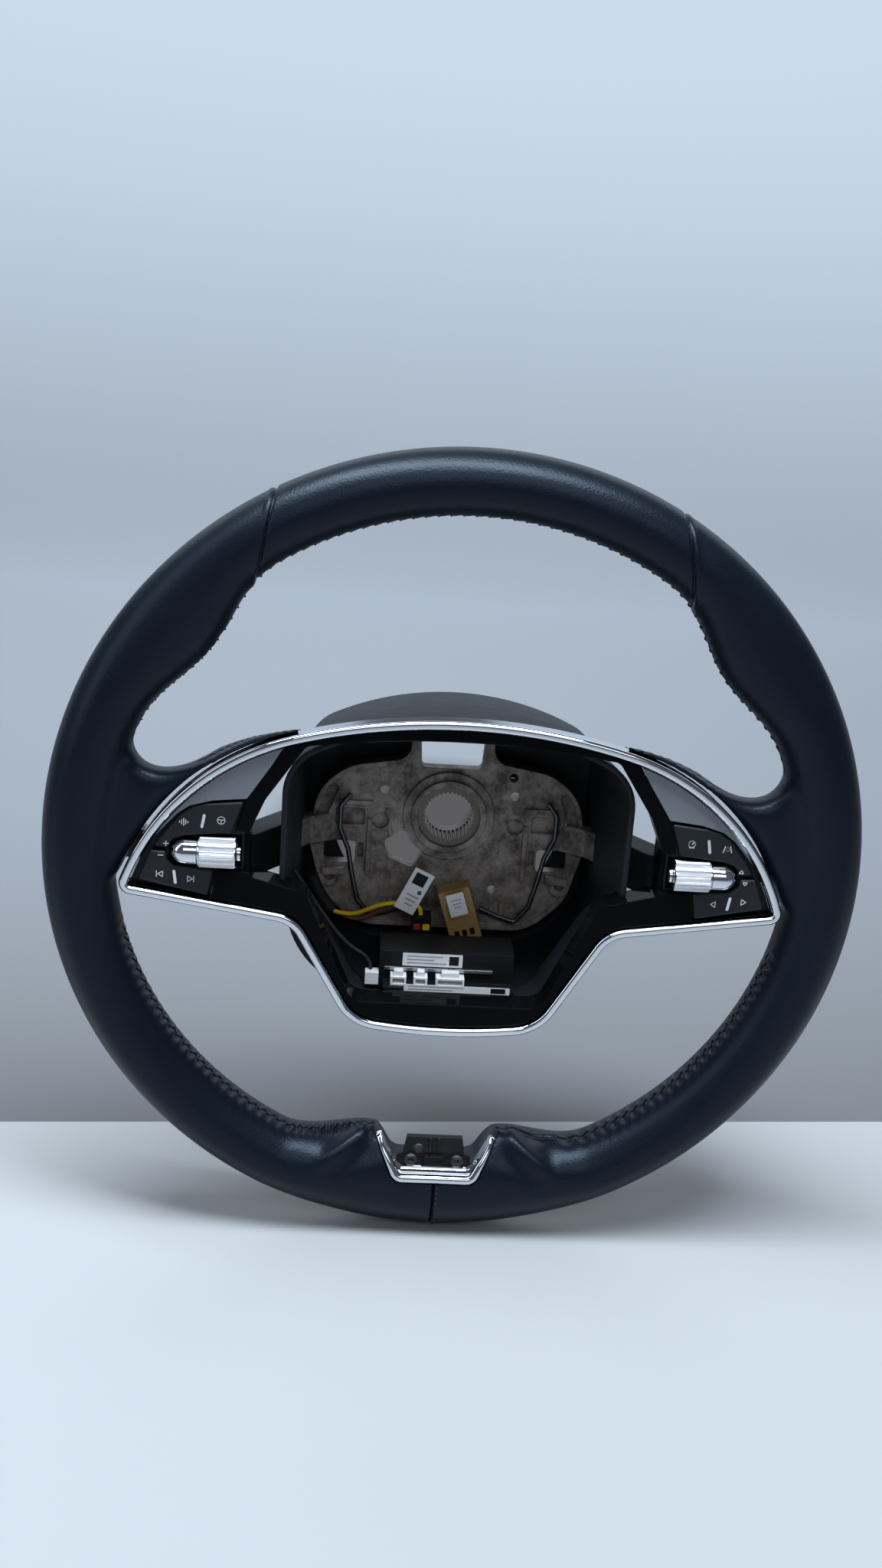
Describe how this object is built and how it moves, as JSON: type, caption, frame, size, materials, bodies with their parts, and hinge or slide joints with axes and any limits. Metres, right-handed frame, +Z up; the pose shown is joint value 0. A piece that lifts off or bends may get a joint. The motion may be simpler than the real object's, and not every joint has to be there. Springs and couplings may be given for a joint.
{
  "type": "steering wheel",
  "caption": "Leather-covered car steering wheel with a chrome-edged spoke surround, rocker keys, thumb rollers, a serrated hub bore and an open middle for a cushion.",
  "frame": {"origin": "on the hub bore's axis, at the rear face of the bush", "axes": "+Y along the column away from the driver, +Z up, +X to the driver's right"},
  "size_m": [0.37, 0.1048, 0.3701],
  "materials": {
    "leather": "satin",
    "diecast": "matte",
    "steel": "satin",
    "chrome": "polished",
    "knurled": "satin",
    "gloss_black": "gloss",
    "cover": "grained",
    "panel": "satin",
    "key": "satin",
    "black_plastic": "matte",
    "board": "satin",
    "gold": "satin",
    "white": "satin",
    "sleeve": "matte",
    "yellow": "satin",
    "brown": "satin"
  },
  "bodies": {
    "wheel": {"airbag_connector": "gold", "airbag_spring_left": "steel", "airbag_spring_right": "steel", "armature": "diecast", "bezel": "gloss_black", "brown_lead": "brown", "chrome_frame": "chrome", "connector_holder": "black_plastic", "control_module": "black_plastic", "cover_screws": "steel", "harness_sleeve": "sleeve", "heater_lead": "sleeve", "heater_lead_plug": "white", "lead_tag": "white", "lower_trim": "chrome", "lower_trim_carrier": "black_plastic", "lower_trim_screws": "steel", "module_headers": "white", "module_strip": "steel", "rear_cover": "cover", "rim_grip_left": "leather", "rim_grip_right": "leather", "rim_grip_top": "leather", "spline_bush": "steel", "spoke_panel_left": "panel", "spoke_panel_right": "panel", "squib_connector": "black_plastic", "switch_base_left": "black_plastic", "switch_base_right": "black_plastic", "switch_board_left": "board", "switch_board_right": "board", "yellow_lead": "yellow"},
    "key_upper_left": {"key_upper_left": "key"},
    "key_lower_left": {"key_lower_left": "key"},
    "roller_press_left": {"roller_carrier_left": "chrome", "roller_axle_left": "steel"},
    "roller_left": {"roller_left": "knurled"},
    "key_upper_right": {"key_upper_right": "key"},
    "key_lower_right": {"key_lower_right": "key"},
    "roller_press_right": {"roller_carrier_right": "chrome", "roller_axle_right": "steel"},
    "roller_right": {"roller_right": "knurled"}
  },
  "joints": [
    {"name": "upper_key_rock_right", "type": "hinge", "parent": "wheel", "child": "key_upper_right", "pos_m": [0.1115, -0.0904, 0.0176], "axis": [0, 0, 1], "range_deg": [-1.3, 1.3], "stiffness_Nm_per_rad": 0.6},
    {"name": "lower_key_rock_right", "type": "hinge", "parent": "wheel", "child": "key_lower_right", "pos_m": [0.125, -0.0904, -0.0096], "axis": [0, 0, 1], "range_deg": [-1.3, 1.3], "stiffness_Nm_per_rad": 0.6},
    {"name": "roller_push_right", "type": "slide", "parent": "wheel", "child": "roller_press_right", "axis": [0, 1, 0], "range_m": [0, 0.0008], "stiffness_N_per_m": 1500, "springref_m": -0.0006},
    {"name": "roller_spin_right", "type": "hinge", "parent": "roller_press_right", "child": "roller_right", "pos_m": [0.1064, -0.0945, 0.002], "axis": [1, 0, 0], "continuous": true},
    {"name": "upper_key_rock_left", "type": "hinge", "parent": "wheel", "child": "key_upper_left", "pos_m": [-0.1115, -0.0904, 0.0176], "axis": [0, 0, 1], "range_deg": [-1.3, 1.3], "stiffness_Nm_per_rad": 0.6},
    {"name": "lower_key_rock_left", "type": "hinge", "parent": "wheel", "child": "key_lower_left", "pos_m": [-0.125, -0.0904, -0.0096], "axis": [0, 0, 1], "range_deg": [-1.3, 1.3], "stiffness_Nm_per_rad": 0.6},
    {"name": "roller_push_left", "type": "slide", "parent": "wheel", "child": "roller_press_left", "axis": [0, 1, 0], "range_m": [0, 0.0008], "stiffness_N_per_m": 1500, "springref_m": -0.0006},
    {"name": "roller_spin_left", "type": "hinge", "parent": "roller_press_left", "child": "roller_left", "pos_m": [-0.1064, -0.0945, 0.002], "axis": [1, 0, 0], "continuous": true}
  ]
}
